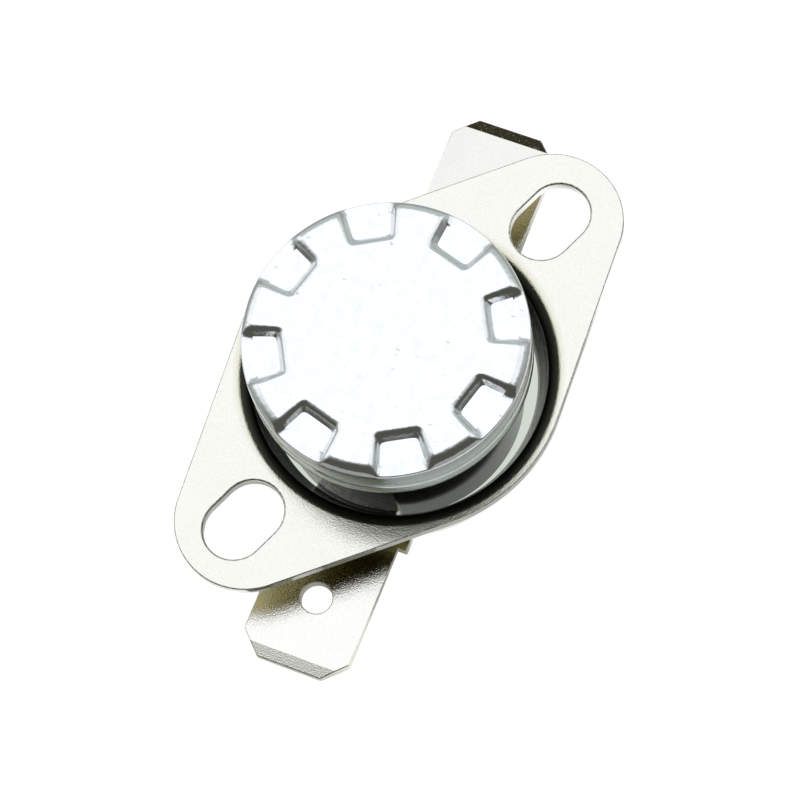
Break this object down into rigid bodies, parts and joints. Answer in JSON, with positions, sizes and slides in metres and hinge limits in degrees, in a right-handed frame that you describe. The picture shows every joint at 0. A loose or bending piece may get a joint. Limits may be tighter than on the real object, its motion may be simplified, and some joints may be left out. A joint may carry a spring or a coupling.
{
  "type": "bimetal thermostat",
  "caption": "Round snap-disc thermostat: pressed metal cap on a black case, loose slotted mounting bracket that turns, and flat push-on tabs on opposite sides.",
  "frame": {"origin": "on the cap's axis, in the plane of the case's foot", "axes": "+Z along the axis towards the cap's flat sensing face; +X along the tabs, towards terminal_front"},
  "size_m": [0.034, 0.0189, 0.0114],
  "materials": {
    "cap_aluminium": "bare pressed sheet, satin, faintly scuffed",
    "bracket_nickel": "nickel-plated steel sheet, fine satin grain",
    "tab_nickel": "nickel-plated strip, satin",
    "case_phenolic": "black moulded phenolic, glossy",
    "guide_ceramic": "unglazed white ceramic",
    "disc_bimetal": "rolled bimetal",
    "blade_bronze": "rolled bronze spring strip",
    "rivet_brass": "plain brass",
    "contact_silver": "silver contact metal"
  },
  "bodies": {
    "root": {"cap": "cap_aluminium", "case": "case_phenolic", "guide_plate": "guide_ceramic", "bimetal_disc": "disc_bimetal", "terminal_front": "tab_nickel", "terminal_back": "tab_nickel", "rivet_front": "rivet_brass", "rivet_back": "rivet_brass", "fixed_contact_bridge": "rivet_brass", "fixed_contact": "contact_silver"},
    "bracket": {"mounting_bracket": "bracket_nickel"},
    "pin": {"transfer_pin": "guide_ceramic"},
    "blade": {"contact_arm": "blade_bronze", "moving_contact": "contact_silver"}
  },
  "joints": [
    {"name": "bracket_turn", "type": "hinge", "parent": "root", "child": "bracket", "pos_m": [-0.00044, -0.00005, 0.00444], "axis": [0, 0, 1], "continuous": true},
    {"name": "blade_bend", "type": "hinge", "parent": "root", "child": "blade", "pos_m": [-0.00225, 0, 0.00275], "axis": [0, 1, 0], "range_deg": [0, 8.7], "stiffness_Nm_per_rad": 0.017, "deforming": ["contact_arm"]},
    {"name": "pin_travel", "type": "slide", "parent": "root", "child": "pin", "axis": [0, 0, -1], "range_m": [0, 0.000275], "deforming": ["bimetal_disc"]}
  ],
  "couplings": [
    {"joint": "blade_bend", "follows": "pin_travel", "rad_per_m": 552}
  ]
}
